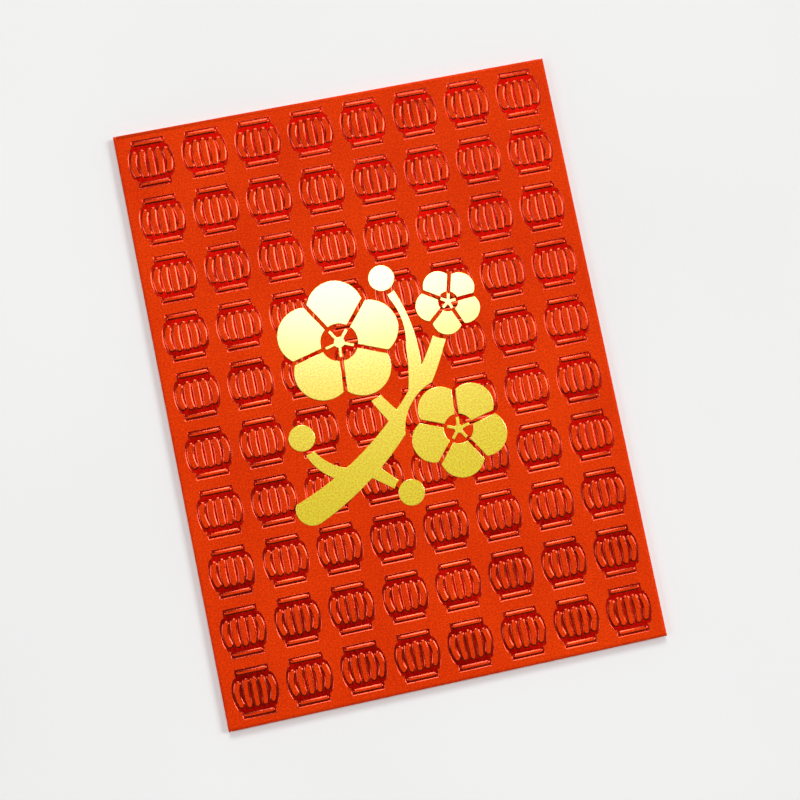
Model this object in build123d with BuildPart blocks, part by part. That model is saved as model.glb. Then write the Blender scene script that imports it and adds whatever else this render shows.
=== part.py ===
"""Red paper packet: one folded, glued sheet with a hinged closure flap and a foil-stamped front.

The packet lies face up. X runs across it, Y runs up it towards the closure flap, and Z is up.
The origin is the middle of the footprint, on the surface that the packet lies on.
"""

import os

from build123d import *

# Overall size, in millimetres
packet_width = 85.0
packet_height = 115.0

# Layers, from the back of the packet to its front
paper = 0.25  # thickness of the sheet
gum = 0.04  # dry gum film on the closure flap
flap_clearance = 0.06  # air between the closed flap's gum and the back
glue = 0.05  # dried glue film in each lap
pocket_gap = 0.5  # room for the notes where the pocket is shallowest
foil = 0.03  # red stamping foil
gold_relief = 0.12  # gold foil on its raised ground

# Side flaps, which lap along the middle of the back
seam_overlap = 14.0
seam_ramp = 4.0  # run over which the left flap climbs onto the right one
ramp_clearance = 0.6  # from the right flap's edge to the foot of that climb
mouth_shoulder = 1.5  # from the crease line down to the flaps' outer corners
mouth_dip = 7.0  # further fall of the mouth's edge towards the seam
foot_clearance = 0.8  # from the bottom score line up to the flaps
foot_rise = 2.5  # taper of the flaps' lower edge at the side folds
side_flap_corner = 3.0
seam_glue_margin = 2.5  # bare paper on each side of the glue line
seam_glue_inset = 4.0  # bare length at each end of the seam

# Bottom flap, glued over the side flaps
bottom_flap_depth = 18.0
bottom_flap_taper = 6.0
bottom_flap_corner = 4.0
bottom_glue_width = 7.0
bottom_glue_inset = 4.0

# Closure flap, which swings on the crease along the top
closure_flap_depth = 25.0
closure_flap_taper = 5.0
closure_flap_corner = 8.0
gum_width = 6.0
gum_inset = 4.0

# Both flaps stop short of the packet's corners by this much
flap_relief = 1.0

# Grid of stamped lanterns on the front
lantern_width = 8.8
lantern_height = 9.4
column_gap = 1.5
row_gap = 1.9
grid_side_margin = 1.95
grid_end_margin = 1.7
cap_width = 6.4
cap_depth = 1.5
shoulder_depth = 1.6  # height over which the body widens below its cap
foil_rim = 0.35  # foil left above and below the raised ribs
rib_count = 3
rib_width = 0.8
rib_spacing = 1.75

# Gold spray of blossom in the middle of the front
emblem_size = 46.0  # height of the spray, which its shares follow
petal_gap = 0.7
stamen_width = 0.6
leaf_gap = 0.8  # bare paper left round each blossom and bud

# Blossoms of the spray: middle and radius as shares of half the emblem, and the turn of the first petal
blossom_shares = {
    "gold_large_blossom": ((-0.34, 0.44), 0.52, 14.0),
    "gold_middle_blossom": ((0.49, -0.46), 0.41, -22.0),
    "gold_small_blossom": ((0.62, 0.60), 0.28, 40.0),
}
petal_count = 5
petal_share = 0.46  # of the blossom's radius, as are the next three
eye_share = 0.30
stamen_share = 0.24
anther_share = 0.09

# Buds, and strokes of the branch by root, bend and tip, as shares of half the emblem
bud_radius_share = 0.11
bud_shares = ((-0.80, -0.28), (0.00, -0.90), (0.11, 0.90))
branch_root_share = 0.26
branch_tip_share = 0.09
twig_root_share = 0.13
twig_tip_share = 0.06
stroke_end_share = 0.35  # bulge of a stroke's ends, of its width there
branch_shares = ((-0.86, -0.90), (0.02, -0.32), (0.62, 0.62))
twig_shares = (
    ((-0.43, -0.66), (-0.67, -0.54), (-0.80, -0.28)),
    ((-0.34, -0.60), (-0.19, -0.74), (0.00, -0.90)),
    ((0.02, -0.30), (-0.13, -0.08), (-0.28, 0.30)),
    ((0.19, -0.12), (0.24, 0.42), (0.11, 0.90)),
    ((0.02, -0.34), (0.19, -0.44), (0.47, -0.46)),
)

# Heights of the layers above the surface that the packet lies on
back_z = paper + gum + flap_clearance
bottom_flap_z = back_z - glue - paper
lip_z = back_z + paper + glue
front_z = lip_z + paper + pocket_gap
face_z = front_z + paper
emblem_z = face_z + foil

# Each fold is a half ring from the front's face round to the outer face of its flap
side_fold_radius = (face_z - back_z) / 2
bottom_fold_radius = (face_z - bottom_flap_z) / 2
crease_radius = face_z / 2
side_fold_z = face_z - side_fold_radius
bottom_fold_z = face_z - bottom_fold_radius

# Score lines, where the flat panels end and the folds begin
score_x = packet_width / 2 - side_fold_radius
bottom_y = bottom_fold_radius - packet_height / 2
crease_y = packet_height / 2 - crease_radius

# Edges of the side flaps
shoulder_y = crease_y - mouth_shoulder
mouth_y = shoulder_y - mouth_dip
foot_y = bottom_y + foot_clearance
seam_x = seam_overlap / 2
flap_root_x = score_x - flap_relief

os.makedirs("parts", exist_ok=True)


def save(piece, name):
    """Labels a finished piece and writes it as one file."""
    piece.part.label = name
    export_step(piece.part, f"parts/{name}.step")


def fold_profile(outer_radius):
    """Half ring of paper, bulging towards +X of its sketch."""
    Circle(outer_radius)
    Circle(outer_radius - paper, mode=Mode.SUBTRACT)
    split(bisect_by=Plane.YZ)


def packet_profile():
    """Closed packet seen from its side, rounded at the bottom fold and at the crease."""
    with BuildLine() as outline:
        Line((bottom_y, face_z), (crease_y, face_z))
        ThreePointArc((crease_y, face_z), (packet_height / 2, crease_radius), (crease_y, 0))
        Line((crease_y, 0), (bottom_y, bottom_flap_z))
        ThreePointArc((bottom_y, bottom_flap_z), (-packet_height / 2, bottom_fold_z), (bottom_y, face_z))
    make_face(outline.edges())


def side_flap_outline(side):
    """Side flap from its score line to its edge past the middle; side is -1 on the left, 1 on the right."""
    with BuildLine() as outline:
        Polyline(
            (side * score_x, shoulder_y),
            (-side * seam_x, mouth_y),
            (-side * seam_x, foot_y),
            (side * score_x, foot_y + foot_rise),
            close=True,
        )
    make_face(outline.edges())
    free_corners = vertices().group_by(Axis.X)[0 if side > 0 else -1]
    fillet(free_corners, side_flap_corner)


def tapered_flap(root_y, end_y, taper, corner):
    """Flap from its score line at root_y to a narrower free edge at end_y, with rounded corners."""
    with BuildLine() as outline:
        Polyline(
            (-flap_root_x, root_y),
            (flap_root_x, root_y),
            (flap_root_x - taper, end_y),
            (taper - flap_root_x, end_y),
            close=True,
        )
    make_face(outline.edges())
    free_corners = vertices().group_by(Axis.Y)[0 if end_y < root_y else -1]
    fillet(free_corners, corner)


def emblem_point(shares):
    """Point of the emblem from its shares of half the emblem's size."""
    return Vector(*shares) * (emblem_size / 2)


def brush_stroke(stroke_shares, root_share, tip_share):
    """Tapering stroke with soft ends that bends through three points."""
    root, bend, tip = (emblem_point(shares) for shares in stroke_shares)
    root_width = root_share * emblem_size / 2
    tip_width = tip_share * emblem_size / 2
    along = (tip - root).normalized()
    across = along.rotate(Axis.Z, 90)
    root_half = across * (root_width / 2)
    bend_half = across * ((root_width + tip_width) / 4)
    tip_half = across * (tip_width / 2)
    root_end = root - along * (root_width * stroke_end_share)
    tip_end = tip + along * (tip_width * stroke_end_share)
    with BuildLine() as outline:
        ThreePointArc(root + root_half, bend + bend_half, tip + tip_half)
        ThreePointArc(tip + tip_half, tip_end, tip - tip_half)
        ThreePointArc(tip - tip_half, bend - bend_half, root - root_half)
        ThreePointArc(root - root_half, root_end, root + root_half)
    make_face(outline.edges())


def blossom(radius, turn):
    """Five round petals parted by narrow gaps, with a star of stamens in the open eye."""
    petal_radius = radius * petal_share
    stamen_length = radius * stamen_share
    gap_turn = turn + 180 / petal_count
    with PolarLocations(radius - petal_radius, petal_count, start_angle=turn):
        Circle(petal_radius)
    with PolarLocations(radius / 2, petal_count, start_angle=gap_turn):
        Rectangle(radius, petal_gap, mode=Mode.SUBTRACT)
    Circle(radius * eye_share, mode=Mode.SUBTRACT)
    Circle(radius * anther_share)
    with PolarLocations(stamen_length / 2, petal_count, start_angle=gap_turn):
        Rectangle(stamen_length, stamen_width)


# Front panel
with BuildPart() as front_panel:
    with BuildSketch(Plane.XY.offset(front_z)):
        with Locations((0, (crease_y + bottom_y) / 2)):
            Rectangle(2 * score_x, crease_y - bottom_y)
    extrude(amount=paper)
save(front_panel, "front_panel")

# Folds along both sides, from the front round to the side flaps, pressed round at the packet's corners
for side, name in ((-1, "left_fold"), (1, "right_fold")):
    with BuildPart() as side_fold:
        with BuildSketch(Plane((side * score_x, 0, side_fold_z), x_dir=(side, 0, 0), z_dir=(0, -side, 0))):
            fold_profile(side_fold_radius)
        extrude(amount=packet_height / 2, both=True)
        with BuildSketch(Plane.YZ):
            packet_profile()
        extrude(amount=packet_width / 2, both=True, mode=Mode.INTERSECT)
    save(side_fold, name)

# Right side flap, the outer one at the seam
with BuildPart() as right_back_flap:
    with BuildSketch(Plane.XY.offset(back_z)):
        side_flap_outline(1)
    extrude(amount=paper)
save(right_back_flap, "right_back_flap")

# Left side flap, which climbs onto the right one at the seam
with BuildPart() as left_back_flap:
    climb_end_x = -seam_x - ramp_clearance
    climb_start_x = climb_end_x - seam_ramp
    with BuildSketch(Plane.XZ):
        with BuildLine():
            Polyline(
                (-score_x, back_z),
                (climb_start_x, back_z),
                (climb_end_x, lip_z),
                (seam_x, lip_z),
                (seam_x, lip_z + paper),
                (climb_end_x, lip_z + paper),
                (climb_start_x, back_z + paper),
                (-score_x, back_z + paper),
                close=True,
            )
        make_face()
    extrude(amount=packet_height / 2, both=True)
    with BuildSketch(Plane.XY.offset(back_z)):
        side_flap_outline(-1)
    extrude(amount=lip_z + paper - back_z, mode=Mode.INTERSECT)
save(left_back_flap, "left_back_flap")

# Glue line between the two side flaps
with BuildPart() as seam_glue:
    seam_glue_end_y = mouth_y - seam_glue_inset
    seam_glue_start_y = foot_y + seam_glue_inset
    with BuildSketch(Plane.XY.offset(back_z + paper)):
        with Locations((0, (seam_glue_end_y + seam_glue_start_y) / 2)):
            Rectangle(seam_overlap - 2 * seam_glue_margin, seam_glue_end_y - seam_glue_start_y)
    extrude(amount=glue)
save(seam_glue, "seam_glue")

# Fold along the bottom
with BuildPart() as bottom_fold:
    with BuildSketch(Plane((0, bottom_y, bottom_fold_z), x_dir=(0, -1, 0), z_dir=(-1, 0, 0))):
        fold_profile(bottom_fold_radius)
    extrude(amount=score_x, both=True)
save(bottom_fold, "bottom_fold")

# Bottom flap
with BuildPart() as bottom_flap:
    bottom_flap_end_y = bottom_y + bottom_flap_depth
    with BuildSketch(Plane.XY.offset(bottom_flap_z)):
        tapered_flap(bottom_y, bottom_flap_end_y, bottom_flap_taper, bottom_flap_corner)
    extrude(amount=paper)
save(bottom_flap, "bottom_flap")

# Glue strip that holds the bottom flap to the side flaps
with BuildPart() as bottom_glue:
    bottom_glue_length = 2 * (flap_root_x - bottom_flap_taper - bottom_glue_inset)
    with BuildSketch(Plane.XY.offset(bottom_flap_z + paper)):
        with Locations((0, bottom_flap_end_y - bottom_glue_inset - bottom_glue_width / 2)):
            Rectangle(bottom_glue_length, bottom_glue_width)
    extrude(amount=glue)
save(bottom_glue, "bottom_glue")

# Crease along the top, which bends as the closure flap swings
with BuildPart() as flap_crease:
    with BuildSketch(Plane((0, crease_y, crease_radius), x_dir=(0, 1, 0), z_dir=(1, 0, 0))):
        fold_profile(crease_radius)
    extrude(amount=score_x, both=True)
save(flap_crease, "flap_crease")

# Closure flap, folded shut behind the packet
with BuildPart() as closure_flap:
    closure_flap_end_y = crease_y - closure_flap_depth
    with BuildSketch():
        tapered_flap(crease_y, closure_flap_end_y, closure_flap_taper, closure_flap_corner)
    extrude(amount=paper)
save(closure_flap, "closure_flap")

# Gum strip on the inner face of the closure flap
with BuildPart() as closure_gum:
    gum_length = 2 * (flap_root_x - closure_flap_taper - gum_inset)
    with BuildSketch(Plane.XY.offset(paper)):
        with Locations((0, closure_flap_end_y + gum_inset + gum_width / 2)):
            Rectangle(gum_length, gum_width)
    extrude(amount=gum)
save(closure_gum, "closure_gum")

# Red foil lanterns, one row of the grid to a node; the raised ribs of each lantern are openings in its foil
grid_width = packet_width - 2 * grid_side_margin
grid_height = packet_height - 2 * grid_end_margin
lantern_columns = round((grid_width + column_gap) / (lantern_width + column_gap))
lantern_rows = round((grid_height + row_gap) / (lantern_height + row_gap))
column_pitch = (grid_width - lantern_width) / (lantern_columns - 1)
row_pitch = (grid_height - lantern_height) / (lantern_rows - 1)
body_height = lantern_height - 2 * cap_depth
widest_y = body_height / 2 - shoulder_depth
lantern_corners = (
    (cap_width / 2, lantern_height / 2),
    (cap_width / 2, body_height / 2),
    (lantern_width / 2, widest_y),
    (lantern_width / 2, -widest_y),
    (cap_width / 2, -body_height / 2),
    (cap_width / 2, -lantern_height / 2),
)
other_corners = tuple((-x, y) for x, y in reversed(lantern_corners))
for row in range(lantern_rows):
    row_y = ((lantern_rows - 1) / 2 - row) * row_pitch
    with BuildPart() as lantern_row:
        with BuildSketch(Plane((0, row_y, face_z))):
            with GridLocations(column_pitch, row_pitch, lantern_columns, 1):
                Polygon(*lantern_corners, *other_corners, align=None)
                with GridLocations(rib_spacing, row_pitch, rib_count, 1):
                    Rectangle(rib_width, body_height - 2 * foil_rim, mode=Mode.SUBTRACT)
        extrude(amount=foil)
    save(lantern_row, f"lantern_foil_row_{row + 1:02d}")

# Gold blossoms
for name, (middle, radius_share, turn) in blossom_shares.items():
    with BuildPart() as gold_blossom:
        with BuildSketch(Plane.XY.offset(emblem_z)):
            with Locations(emblem_point(middle)):
                blossom(radius_share * emblem_size / 2, turn)
        extrude(amount=gold_relief)
    save(gold_blossom, name)

# Gold buds at the tips of the twigs
bud_radius = bud_radius_share * emblem_size / 2
with BuildPart() as gold_buds:
    with BuildSketch(Plane.XY.offset(emblem_z)):
        with Locations(*(emblem_point(shares) for shares in bud_shares)):
            Circle(bud_radius)
    extrude(amount=gold_relief)
save(gold_buds, "gold_buds")

# Gold branch and twigs, broken where a blossom or bud lies across them
with BuildPart() as gold_branch:
    with BuildSketch(Plane.XY.offset(emblem_z)):
        brush_stroke(branch_shares, branch_root_share, branch_tip_share)
        for shares in twig_shares:
            brush_stroke(shares, twig_root_share, twig_tip_share)
        for middle, radius_share, turn in blossom_shares.values():
            with Locations(emblem_point(middle)):
                Circle(radius_share * emblem_size / 2 + leaf_gap, mode=Mode.SUBTRACT)
        with Locations(*(emblem_point(shares) for shares in bud_shares)):
            Circle(bud_radius + leaf_gap, mode=Mode.SUBTRACT)
    extrude(amount=gold_relief)
save(gold_branch, "gold_branch")
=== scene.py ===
"""Looks of the red paper packet: embossed paper, red foil lanterns and a gold foil spray of blossom."""

from math import cos, pi, radians, sin, sqrt

import bmesh
import bpy
from mathutils import Matrix, Vector


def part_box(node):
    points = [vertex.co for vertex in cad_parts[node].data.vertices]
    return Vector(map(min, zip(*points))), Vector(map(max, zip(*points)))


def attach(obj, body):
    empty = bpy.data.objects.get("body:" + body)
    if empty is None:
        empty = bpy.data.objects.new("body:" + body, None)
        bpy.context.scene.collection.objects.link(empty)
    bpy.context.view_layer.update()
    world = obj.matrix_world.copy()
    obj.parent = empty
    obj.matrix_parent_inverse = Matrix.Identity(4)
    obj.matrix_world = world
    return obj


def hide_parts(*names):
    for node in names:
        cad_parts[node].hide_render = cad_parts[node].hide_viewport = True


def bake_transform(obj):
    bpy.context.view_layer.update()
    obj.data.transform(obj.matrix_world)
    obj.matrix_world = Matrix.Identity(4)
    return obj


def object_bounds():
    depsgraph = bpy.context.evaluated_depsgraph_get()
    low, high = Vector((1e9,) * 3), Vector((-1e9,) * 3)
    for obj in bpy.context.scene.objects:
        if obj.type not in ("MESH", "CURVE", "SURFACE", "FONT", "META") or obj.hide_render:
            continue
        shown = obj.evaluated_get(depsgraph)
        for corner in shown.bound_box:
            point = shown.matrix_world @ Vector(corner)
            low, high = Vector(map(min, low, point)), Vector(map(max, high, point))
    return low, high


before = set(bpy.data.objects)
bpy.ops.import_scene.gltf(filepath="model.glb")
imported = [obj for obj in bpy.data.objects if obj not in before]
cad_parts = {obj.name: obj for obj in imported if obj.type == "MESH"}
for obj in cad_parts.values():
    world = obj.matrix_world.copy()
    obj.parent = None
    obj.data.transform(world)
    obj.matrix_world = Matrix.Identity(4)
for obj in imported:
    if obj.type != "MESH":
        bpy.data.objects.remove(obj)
cad_low, cad_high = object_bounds()

MM = 0.001

# Nodes of the frame: those that new pieces stand for, and the paper ones that keep their shape
row_nodes = sorted(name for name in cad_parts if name.startswith("lantern_foil_row"))
gold_nodes = sorted(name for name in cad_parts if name.startswith("gold_"))
fold_nodes = ["left_fold", "right_fold", "bottom_fold"]
flap_nodes = ["left_back_flap", "right_back_flap", "bottom_flap", "closure_flap"]

# Places taken from the frame
face_low, face_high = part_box("front_panel")
crease_low, crease_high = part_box("flap_crease")
row_boxes = [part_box(name) for name in row_nodes]
face_z = face_high.z
paper = face_high.z - face_low.z
crease_clearance = 0.01 * MM  # between the front's edge and the flap when it lies open

# Lantern that every place in the grid carries
lantern_columns = 8
lantern_width = 8.8 * MM
lantern_height = 9.4 * MM
cap_width = 6.4 * MM
cap_depth = 1.5 * MM
rim = 0.28 * MM  # bare ground outside the raised strokes
bar_width = 0.94 * MM
rib_width = 1.40 * MM
rib_count = 5
rib_pinch_share = 0.12  # how far a rib's ends draw in towards the middle
outer_rib_length_share = 0.87  # of the middle rib's length

# Embossing: the lanterns' grounds are sunk into the face, and their strokes rise above it
recess_depth = 0.06 * MM
stroke_rise = 0.07 * MM
rim_run = 0.16 * MM  # width of the wall round a ground
wall_run = 0.28 * MM  # width of the wall round a stroke
foil_thickness = 0.012 * MM
foil_clearance = 0.004 * MM  # from the foil to the paper under it
tip_depth = 0.03 * MM  # bare paper on top of a stroke
tip_seat = 0.015 * MM  # how far that paper reaches down into the foil
tip_round = 0.07 * MM
tip_wall_share = 0.5  # height of the tip's rounded edge, of its depth
gold_edge = 0.09 * MM  # rounding of the gold patches
round_profile_share = 0.5  # bulge of that rounding, for a quarter circle

# Fineness of the meshes
wall_steps = 6
profile_steps = 20
end_steps = 5
rib_steps = 9
gold_edge_steps = 3
crease_steps = 28
floor_sides = 96
weld = 0.001 * MM
flat_angle = radians(1)

half_width = lantern_width / 2
half_height = lantern_height / 2
half_cap = cap_width / 2
body_half_height = half_height - cap_depth
ground_z = face_z - recess_depth
stroke_top_z = face_z + stroke_rise

# Middles of the lanterns
column_pitch = (row_boxes[0][1].x - row_boxes[0][0].x - lantern_width) / (lantern_columns - 1)
column_x = [row_boxes[0][0].x + half_width + column_pitch * column for column in range(lantern_columns)]
row_y = sorted((low.y + high.y) / 2 for low, high in row_boxes)

# An embossed wall from its foot to its top: shares of its run and of its height
wall_shares = [(step / wall_steps, (1 - cos(pi * step / wall_steps)) / 2) for step in range(wall_steps + 1)]


def lantern_half_width(y):
    """Half the width of the lantern's ground at a height above its middle."""
    if abs(y) >= body_half_height:
        return half_cap
    return half_cap + (half_width - half_cap) * sqrt(1 - (y / body_half_height) ** 2)


def lantern_levels():
    """Heights of the ground's cross lines, from the bottom up, each with its share of the depth."""
    upper_wall = [(half_height - run * rim_run, share) for run, share in wall_shares]
    lower_wall = [(-y, share) for y, share in upper_wall]
    turns = [pi * (step / profile_steps - 1 / 2) for step in range(profile_steps + 1)]
    body = [(body_half_height * sin(turn), 1) for turn in turns]
    return lower_wall + body + upper_wall[::-1]


def lantern_lines():
    """The ground as cross lines of (height, points), each point an x and its share of the depth."""
    lines = []
    for y, end_share in lantern_levels():
        edge_x = lantern_half_width(y)
        left = [(run * rim_run - edge_x, min(share, end_share)) for run, share in wall_shares]
        right = [(-x, share) for x, share in reversed(left)]
        lines.append((y, left + right))
    return lines


def lantern_strokes():
    """The raised strokes as (path, half width): a bar in each cap and ribs down the body."""
    bar_half = bar_width / 2
    bar_y = half_height - cap_depth / 2
    bar_reach = half_cap - rim - bar_half
    strokes = [([(-bar_reach, y), (bar_reach, y)], bar_half) for y in (-bar_y, bar_y)]
    rib_half = rib_width / 2
    outer_x = half_width - rim - rib_half
    middle_reach = body_half_height - rim - rib_half
    for rib in range(rib_count):
        across = 2 * rib / (rib_count - 1) - 1
        reach = middle_reach * (1 - (1 - outer_rib_length_share) * across ** 2)
        path = []
        for step in range(rib_steps):
            along = 2 * step / (rib_steps - 1) - 1
            path.append((outer_x * across * (1 - rib_pinch_share * along ** 2), reach * along))
        strokes.append((path, rib_half))
    return strokes


def stroke_ring(path, half):
    """Outline of a round-ended stroke along a path, with a given half width."""
    points = [Vector(point) for point in path]
    last = len(points) - 1
    runs = [(points[min(i + 1, last)] - points[max(i - 1, 0)]).normalized() for i in range(last + 1)]
    sides = [Vector((-run.y, run.x)) for run in runs]
    left = [point + side * half for point, side in zip(points, sides)]
    right = [point - side * half for point, side in zip(points, sides)]
    turns = [pi * (step + 1) / (end_steps + 1) for step in range(end_steps)]
    far_end = [points[-1] + (sides[-1] * cos(turn) + runs[-1] * sin(turn)) * half for turn in turns]
    near_end = [points[0] - (sides[0] * cos(turn) + runs[0] * sin(turn)) * half for turn in turns]
    return left + far_end + right[::-1] + near_end


def show(name, data):
    """A mesh, camera or lamp as an object of the scene."""
    item = bpy.data.objects.new(name, data)
    bpy.context.scene.collection.objects.link(item)
    return item


def grid_sides(grid):
    """The four sides of a grid of points, each running on to the start of the next."""
    return [grid[0], [row[-1] for row in grid], grid[-1][::-1], [row[0] for row in reversed(grid)]]


class MeshMaker:
    """Gathers points and faces, then makes one object of them."""

    def __init__(self):
        self.points = []
        self.faces = []
        self.sloped = []

    def add_points(self, points):
        """Adds points and returns their numbers."""
        start = len(self.points)
        self.points.extend(points)
        return list(range(start, len(self.points)))

    def add_face(self, corners, sloped=False):
        """Adds a face, which is a slope of the embossing or a flat."""
        self.faces.append(corners)
        self.sloped.append(sloped)

    def bridge(self, lower, upper, sloped=True):
        """Adds faces between two closed rings of equal length."""
        for corners in zip(lower, lower[1:] + lower[:1], upper[1:] + upper[:1], upper):
            self.add_face(corners, sloped)

    def add_grid(self, rows):
        """Adds faces over rows of points, as slopes where not level, and returns the points' numbers."""
        grid = [self.add_points(row) for row in rows]
        for lower, upper in zip(grid, grid[1:]):
            for corners in zip(lower, lower[1:], upper[1:], upper):
                heights = [self.points[corner][2] for corner in corners]
                self.add_face(corners, max(heights) - min(heights) > weld)
        return grid

    def add_sheet(self, rows, thickness):
        """Adds a closed sheet of even thickness under rows of points."""
        top = grid_sides(self.add_grid(rows))
        under = grid_sides(self.add_grid([[(x, y, z - thickness) for x, y, z in row] for row in rows]))
        top_ring = [corner for side in top for corner in side[:-1]]
        under_ring = [corner for side in under for corner in side[:-1]]
        self.bridge(under_ring, top_ring, sloped=False)

    def add_slab(self, rows, base_z):
        """Adds a closed slab under rows of points, with a flat base."""
        sides = grid_sides(self.add_grid(rows))
        corners = [self.points[side[0]] for side in sides]
        base = self.add_points([(x, y, base_z) for x, y, _ in corners])
        for side, start, end in zip(sides, base, base[1:] + base[:1]):
            self.add_face(side + [end, start])
        self.add_face(base)

    def add_stroke(self, x, y, path, rings):
        """Adds a closed stroke along a path about (x, y), lofted through rings of (half width, height)."""
        made = []
        for half, z in rings:
            outline = stroke_ring(path, half)
            made.append(self.add_points([(x + point.x, y + point.y, z) for point in outline]))
        for lower, upper in zip(made, made[1:]):
            self.bridge(lower, upper)
        self.add_face(made[0])
        self.add_face(made[-1])

    def build(self, name, material, slope_material=None):
        """The object, shaded smooth on its slopes, which may have a material of their own."""
        mesh = bpy.data.meshes.new(name)
        mesh.from_pydata(self.points, [], self.faces)
        mesh.polygons.foreach_set("use_smooth", self.sloped)
        mesh.materials.append(material)
        if slope_material is not None:
            mesh.materials.append(slope_material)
            mesh.polygons.foreach_set("material_index", [int(sloped) for sloped in self.sloped])
        shape = bmesh.new()
        shape.from_mesh(mesh)
        bmesh.ops.recalc_face_normals(shape, faces=shape.faces)
        shape.to_mesh(mesh)
        shape.free()
        return show(name, mesh)


# What the materials share: the middle stretch of a noise, where nearly all of its values lie,
# the counts of its finer and finer layers, and a tint that changes nothing
noise_shares = (0.35, 0.65)
smooth_layers = 1
coarse_layers = 2
medium_layers = 3
fine_layers = 4
no_change = (1, 1, 1)


def new_material(name):
    """A material, its nodes and its shader."""
    material = bpy.data.materials.new(name)
    material.use_nodes = True
    return material, material.node_tree, material.node_tree.nodes["Principled BSDF"]


def noise(tree, length, layers, slenderness=1, turn=0):
    """Noise with grains of a given length along a turned X axis, and slimmer across it."""
    place = tree.nodes.new("ShaderNodeTexCoord")
    mapping = tree.nodes.new("ShaderNodeMapping")
    mapping.vector_type = "TEXTURE"
    mapping.inputs["Rotation"].default_value = (0, 0, turn)
    mapping.inputs["Scale"].default_value = (length, length / slenderness, length)
    texture = tree.nodes.new("ShaderNodeTexNoise")
    texture.inputs["Scale"].default_value = 1
    texture.inputs["Detail"].default_value = layers
    tree.links.new(place.outputs["Object"], mapping.inputs["Vector"])
    tree.links.new(mapping.outputs["Vector"], texture.inputs["Vector"])
    return texture.outputs["Fac"]


def ramp(tree, source, stops):
    """Colours along a value, from stops of (place, colour)."""
    node = tree.nodes.new("ShaderNodeValToRGB")
    elements = node.color_ramp.elements
    for index, (place, colour) in enumerate(stops):
        element = elements[index] if index < len(elements) else elements.new(place)
        element.position = place
        element.color = (*colour, 1)
    tree.links.new(source, node.inputs["Fac"])
    return node.outputs["Color"]


def tones(tree, source, pair):
    """Colours from a dark to a pale tone along a noise."""
    return ramp(tree, source, zip(noise_shares, pair))


def multiply(tree, first, second):
    """One colour times another."""
    node = tree.nodes.new("ShaderNodeMix")
    node.data_type = "RGBA"
    node.blend_type = "MULTIPLY"
    node.inputs["Factor"].default_value = 1
    tree.links.new(first, node.inputs["A"])
    tree.links.new(second, node.inputs["B"])
    return node.outputs["Result"]


def roughen(tree, shader, source, pair):
    """Roughness that varies between two values along a noise."""
    node = tree.nodes.new("ShaderNodeMapRange")
    for name, share in zip(("From Min", "From Max"), noise_shares):
        node.inputs[name].default_value = share
    for name, roughness in zip(("To Min", "To Max"), pair):
        node.inputs[name].default_value = roughness
    tree.links.new(source, node.inputs["Value"])
    tree.links.new(node.outputs["Result"], shader.inputs["Roughness"])


def bump(tree, shader, height, depth):
    """Relief of a given depth, on top of what the shader has already."""
    node = tree.nodes.new("ShaderNodeBump")
    node.inputs["Strength"].default_value = 1
    node.inputs["Distance"].default_value = depth
    tree.links.new(height, node.inputs["Height"])
    for link in shader.inputs["Normal"].links:
        tree.links.new(link.from_socket, node.inputs["Normal"])
    tree.links.new(node.outputs["Normal"], shader.inputs["Normal"])


# Paper
paper_tones = ((0.85, 0.0433, 0.0007), (0.94, 0.057, 0.00114))
paper_grain_tones = ((0.62, 0.50, 0.50), no_change)
paper_roughness = (0.68, 0.76)
paper_shine = 0.04
paper_cloud_length = 22 * MM
paper_grain_length = 0.28 * MM
paper_grain_depth = 0.012 * MM
fibre_length = 0.9 * MM
fibre_depth = 0.010 * MM
fibre_slenderness = 6
fibre_turns = (radians(25), radians(-50))


def paper_material():
    """Matte vermilion paper with faint clouds, a fine grain and fibres that lie two ways."""
    material, tree, shader = new_material("red_paper")
    grain = noise(tree, paper_grain_length, fine_layers)
    clouds = tones(tree, noise(tree, paper_cloud_length, medium_layers), paper_tones)
    colour = multiply(tree, clouds, tones(tree, grain, paper_grain_tones))
    tree.links.new(colour, shader.inputs["Base Color"])
    bump(tree, shader, grain, paper_grain_depth)
    for turn in fibre_turns:
        fibres = noise(tree, fibre_length, coarse_layers, fibre_slenderness, turn)
        bump(tree, shader, fibres, fibre_depth)
    roughen(tree, shader, grain, paper_roughness)
    shader.inputs["Specular IOR Level"].default_value = paper_shine
    return material


# Red foil, on the lanterns' grounds and on the walls round their strokes; the walls' foil carries a painted
# highlight tint
ground_tones = ((0.57, 0.0042, 0.0010), (0.77, 0.0066, 0.0017))
ground_roughness = (0.48, 0.56)
ground_pit_depth = 0.05 * MM
ground_coat = 0
# The walls' foil is tinted more orange than the grounds', a painted highlight tint, so that the lamps'
# highlights on the walls come out salmon
wall_highlight_tint_tones = ((0.54, 0.042, 0.0123), (0.64, 0.054, 0.0160))
wall_roughness = (0.22, 0.28)
wall_pit_depth = 0.012 * MM
wall_coat = 0.30
coat_roughness = 0.16
streak_tones = ((0.62, 0.62, 0.62), no_change)
streak_length = 1.8 * MM
streak_slenderness = 7
streak_turn = radians(90)
foil_cloud_length = 9 * MM
foil_wave_length = 24 * MM
foil_wave_depth = 1.6 * MM
foil_pit_length = 0.35 * MM


def red_foil_material(name, foil_tones, roughness, pit_depth, coat):
    """Red metal with streaks, slow waves from the press and a fine pitting, with or without a clear coat."""
    material, tree, shader = new_material(name)
    streaks = noise(tree, streak_length, coarse_layers, streak_slenderness, streak_turn)
    clouds = tones(tree, noise(tree, foil_cloud_length, medium_layers), foil_tones)
    colour = multiply(tree, clouds, tones(tree, streaks, streak_tones))
    tree.links.new(colour, shader.inputs["Base Color"])
    bump(tree, shader, noise(tree, foil_wave_length, smooth_layers), foil_wave_depth)
    bump(tree, shader, noise(tree, foil_pit_length, coarse_layers), pit_depth)
    roughen(tree, shader, streaks, roughness)
    shader.inputs["Metallic"].default_value = 1
    shader.inputs["Coat Weight"].default_value = coat
    shader.inputs["Coat Roughness"].default_value = coat_roughness
    return material


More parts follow.
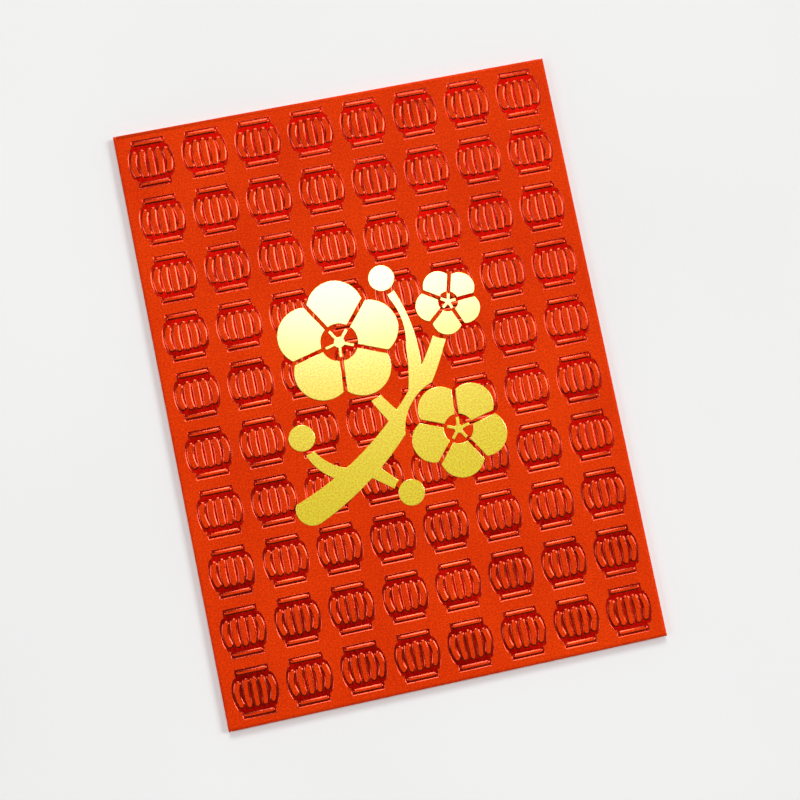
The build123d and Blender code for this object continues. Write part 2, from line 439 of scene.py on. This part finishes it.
# Gold foil
gold_tones = ((0.97, 0.50, 0.0003), (1.0, 0.99, 0.0090))
gold_roughness = (0.31, 0.39)
gold_metal_share = 0.3
gold_coat = 1
gold_coat_roughness = 0.18
gold_coat_ior = 2.33
gold_grain_length = 0.3 * MM
gold_pit_length = 0.4 * MM
gold_pit_depth = 0.012 * MM
gold_brush_length = 0.6 * MM
gold_brush_depth = 0.010 * MM
gold_brush_slenderness = 5


def gold_foil_material():
    """Satin gold with a fine grain and a faint brushing, under a glossy coat."""
    material, tree, shader = new_material("gold_foil")
    grain = noise(tree, gold_grain_length, medium_layers)
    tree.links.new(tones(tree, grain, gold_tones), shader.inputs["Base Color"])
    bump(tree, shader, noise(tree, gold_pit_length, fine_layers), gold_pit_depth)
    brushing = noise(tree, gold_brush_length, coarse_layers, gold_brush_slenderness)
    bump(tree, shader, brushing, gold_brush_depth)
    roughen(tree, shader, grain, gold_roughness)
    shader.inputs["Metallic"].default_value = gold_metal_share
    shader.inputs["Coat Weight"].default_value = gold_coat
    shader.inputs["Coat Roughness"].default_value = gold_coat_roughness
    shader.inputs["Coat IOR"].default_value = gold_coat_ior
    return material


# Dried films of glue and gum
glue_tones = ((0.62, 0.50, 0.34), (0.74, 0.64, 0.48))
glue_roughness = (0.45, 0.55)
gum_tones = ((0.66, 0.42, 0.24), (0.76, 0.54, 0.34))
gum_roughness = (0.15, 0.25)
film_cloud_length = 1.6 * MM
film_ripple_length = 0.8 * MM
film_ripple_depth = 0.02 * MM


def film_material(name, film_tones, roughness):
    """A dried film, mottled and rippled."""
    material, tree, shader = new_material(name)
    clouds = noise(tree, film_cloud_length, medium_layers)
    tree.links.new(tones(tree, clouds, film_tones), shader.inputs["Base Color"])
    bump(tree, shader, noise(tree, film_ripple_length, medium_layers), film_ripple_depth)
    roughen(tree, shader, clouds, roughness)
    return material


# Floor
floor_radius = 4000 * MM
floor_gap = 0.02 * MM
floor_tones = ((0.86, 0.86, 0.855), (0.90, 0.90, 0.895))
floor_roughness = (0.66, 0.74)
floor_shine = 0.2
floor_cloud_length = 140 * MM


def floor_material():
    """A pale, nearly even table top."""
    material, tree, shader = new_material("pale_floor")
    clouds = noise(tree, floor_cloud_length, medium_layers)
    tree.links.new(tones(tree, clouds, floor_tones), shader.inputs["Base Color"])
    roughen(tree, shader, clouds, floor_roughness)
    shader.inputs["Specular IOR Level"].default_value = floor_shine
    return material


red_paper = paper_material()
ground_foil = red_foil_material("red_foil", ground_tones, ground_roughness, ground_pit_depth, ground_coat)
# The foil on the walls takes the more orange tones, a painted highlight tint over the real coat
highlight_tinted_wall_foil = red_foil_material("red_foil_edge_painted_highlight", wall_highlight_tint_tones, wall_roughness, wall_pit_depth, wall_coat)
gold_foil = gold_foil_material()
glue_film = film_material("glue_film", glue_tones, glue_roughness)
gum_film = film_material("gum_film", gum_tones, gum_roughness)


def carry_over(nodes, material):
    """Gives a material to nodes of the frame that keep their shape."""
    for name in nodes:
        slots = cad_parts[name].data.materials
        slots.clear()
        slots.append(material)


carry_over(fold_nodes + flap_nodes, red_paper)
carry_over(["seam_glue", "bottom_glue"], glue_film)
carry_over(["closure_gum"], gum_film)


# Front paper, with a ground sunk into it at every place in the grid and the bare tips of the strokes
ground_lines = lantern_lines()
strokes = lantern_strokes()


def face_line(y, ground_points, depth):
    """Points across the face at one height: its two edges and a cross line of every lantern's ground."""
    points = [(face_low.x, y, face_z)]
    for x in column_x:
        points.extend((x + dx, y, face_z - depth * share) for dx, share in ground_points)
    points.append((face_high.x, y, face_z))
    return points


def face_rows():
    """Rows of points over the embossed face, from the bottom fold up to the crease."""
    _, rim_points = ground_lines[0]
    rows = [face_line(face_low.y, rim_points, 0)]
    for y in row_y:
        rows.extend(face_line(y + dy, points, recess_depth) for dy, points in ground_lines)
    rows.append(face_line(face_high.y - crease_clearance, rim_points, 0))
    return rows


def tip_rings(half):
    """Rings of the bare paper on top of a stroke: its seat in the foil, its wall and its rounded edge."""
    top_half = half - wall_run
    return [
        (top_half, stroke_top_z - tip_depth - tip_seat),
        (top_half, stroke_top_z - tip_depth * tip_wall_share),
        (top_half - tip_round, stroke_top_z),
    ]


front = MeshMaker()
front.add_slab(face_rows(), face_low.z)
for y in row_y:
    for x in column_x:
        for path, half in strokes:
            front.add_stroke(x, y, path, tip_rings(half))
front_paper = front.build("front_paper", red_paper)
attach(front_paper, "pocket")
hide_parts("front_panel")


# Foil lanterns, one row of the grid to a piece
def foil_rings(half):
    """Rings of the foil that covers a stroke, from the ground up to its bare tip."""
    rise = stroke_top_z - tip_depth - ground_z
    return [(half - run * wall_run, ground_z + share * rise) for run, share in wall_shares]


foil_z = face_z + foil_clearance
for node, (low, high) in zip(row_nodes, row_boxes):
    foil_row = MeshMaker()
    y = (low.y + high.y) / 2
    for x in column_x:
        tray = [
            [(x + dx, y + dy, foil_z - recess_depth * share) for dx, share in points]
            for dy, points in ground_lines
        ]
        foil_row.add_sheet(tray, foil_thickness)
        for path, half in strokes:
            foil_row.add_stroke(x, y, path, foil_rings(half))
    lanterns = foil_row.build(node.replace("lantern_foil", "foil_lanterns"), ground_foil, highlight_tinted_wall_foil)
    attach(lanterns, "pocket")
    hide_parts(node)


# Gold patches
def rounded_patch(node, name, material):
    """A raised patch with a node's own outline, seated in the paper, with its upper edge rounded over."""
    low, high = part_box(node)
    middle_z = (low.z + high.z) / 2
    shape = bmesh.new()
    shape.from_mesh(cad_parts[node].data)
    bmesh.ops.remove_doubles(shape, verts=shape.verts, dist=weld)
    bmesh.ops.dissolve_limit(shape, angle_limit=flat_angle, verts=shape.verts, edges=shape.edges)
    for vert in shape.verts:
        if vert.co.z < middle_z:
            vert.co.z = ground_z
    shape.normal_update()
    rim_edges = []
    for edge in shape.edges:
        on_top = all(vert.co.z > middle_z for vert in edge.verts)
        if on_top and edge.calc_face_angle() > flat_angle:
            rim_edges.append(edge)
    bmesh.ops.bevel(
        shape,
        geom=rim_edges,
        offset=gold_edge,
        segments=gold_edge_steps,
        profile=round_profile_share,
        affect="EDGES",
        clamp_overlap=True,
    )
    for face in shape.faces:
        face.smooth = face.normal.z < cos(flat_angle)
    mesh = bpy.data.meshes.new(name)
    shape.to_mesh(mesh)
    shape.free()
    mesh.materials.clear()
    mesh.materials.append(material)
    return show(name, mesh)


for node in gold_nodes:
    patch = rounded_patch(node, node.replace("gold", "gold_foil"), gold_foil)
    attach(patch, "pocket")
    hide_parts(node)


# Crease that carries the flap, bent round its axis
crease_radius = (crease_high.z - crease_low.z) / 2
crease_y = face_high.y
crease_z = crease_low.z + crease_radius


def crease_arc(x, radius):
    """Half circle of points round the crease's axis, from the front over to the flap."""
    turns = [pi * step / crease_steps for step in range(crease_steps + 1)]
    return [(x, crease_y + radius * sin(turn), crease_z + radius * cos(turn)) for turn in turns]


crease = MeshMaker()
crease_ends = []
for x in (crease_low.x, crease_high.x):
    outer = crease.add_points(crease_arc(x, crease_radius))
    inner = crease.add_points(crease_arc(x, crease_radius - paper))
    crease_ends.append(outer + inner[::-1])
    for corners in zip(outer, outer[1:], inner[1:], inner):
        crease.add_face(corners)
crease.bridge(*crease_ends)
flap_fold = crease.build("flap_fold", red_paper)
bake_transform(flap_fold)
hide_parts("flap_crease")


# Floor under the packet
disc = bmesh.new()
bmesh.ops.create_circle(disc, cap_ends=True, segments=floor_sides, radius=floor_radius)
floor_mesh = bpy.data.meshes.new("floor")
disc.to_mesh(floor_mesh)
disc.free()
floor_mesh.materials.append(floor_material())
floor = show("floor", floor_mesh)
floor.location.z = cad_low.z - floor_gap


# Camera and light
face_middle = Vector((0, 0, face_z))
camera_offset = Vector((-12.523, -13.700, 211.706)) * MM
aim_offset = Vector((1.359, -2.997, 0)) * MM
picture_turn = radians(11.65)
picture_up = Vector((sin(picture_turn), cos(picture_turn), 0))
lens = 50
sensor = 36

lamp_tilt = radians(50)  # of the far lamps, from straight above
lamp_half_angle = radians(11)
lamp_headings = {"right_light": radians(10), "top_light": radians(85), "left_light": radians(175)}
lamp_radiances = {"right_light": 13, "top_light": 13, "left_light": 4}
softbox_place = Vector((45, 150, 600)) * MM
softbox_width = 200 * MM
softbox_depth = 130 * MM
softbox_radiance = 7.3

# Grey tones of the surroundings by height: pale at the horizon, and dim from half way up
sky_tones = [(0.12, 0.84), (0.44, 0.10), (0.80, 0.08)]

upwards = Vector((0, 0, 1))
up_the_face = Vector((0, 1, 0))


def aim(item, place, target, up_hint):
    """Stands a camera or lamp at a place and points it at a target."""
    back = (place - target).normalized()
    right = up_hint.cross(back).normalized()
    up = back.cross(right)
    item.matrix_world = Matrix.Translation(place) @ Matrix((right, up, back)).transposed().to_4x4()


def far_lamp(name, heading, radiance):
    """A soft round lamp far away, so that its light is the same all over the packet and the floor."""
    data = bpy.data.lights.new(name, "SUN")
    data.angle = 2 * lamp_half_angle
    data.energy = radiance * pi * sin(lamp_half_angle) ** 2
    level = sin(lamp_tilt)
    place = Vector((level * cos(heading), level * sin(heading), cos(lamp_tilt)))
    aim(show(name, data), place, Vector((0, 0, 0)), upwards)


def softbox():
    """A soft lamp above the packet, facing straight down, that the foil mirrors."""
    data = bpy.data.lights.new("softbox", "AREA")
    data.shape = "RECTANGLE"
    data.size = softbox_width
    data.size_y = softbox_depth
    data.energy = softbox_radiance * pi * softbox_width * softbox_depth
    lamp = show("softbox", data)
    lamp.visible_camera = False
    aim(lamp, softbox_place, softbox_place - upwards, up_the_face)


def surroundings():
    """A plain studio, pale at the horizon and dim above it."""
    world = bpy.data.worlds.new("studio")
    world.use_nodes = True
    tree = world.node_tree
    place = tree.nodes.new("ShaderNodeTexCoord")
    axes = tree.nodes.new("ShaderNodeSeparateXYZ")
    tree.links.new(place.outputs["Generated"], axes.inputs["Vector"])
    colour = ramp(tree, axes.outputs["Z"], [(height, (tone, tone, tone)) for height, tone in sky_tones])
    tree.links.new(colour, tree.nodes["Background"].inputs["Color"])
    return world


camera_data = bpy.data.cameras.new("camera")
camera_data.lens = lens
camera_data.sensor_width = sensor
camera = show("camera", camera_data)
aim(camera, face_middle + camera_offset, face_middle + aim_offset, picture_up)
for name, heading in lamp_headings.items():
    far_lamp(name, heading, lamp_radiances[name])
softbox()
bpy.context.scene.camera = camera
bpy.context.scene.world = surroundings()
bpy.context.scene.view_settings.view_transform = "Standard"
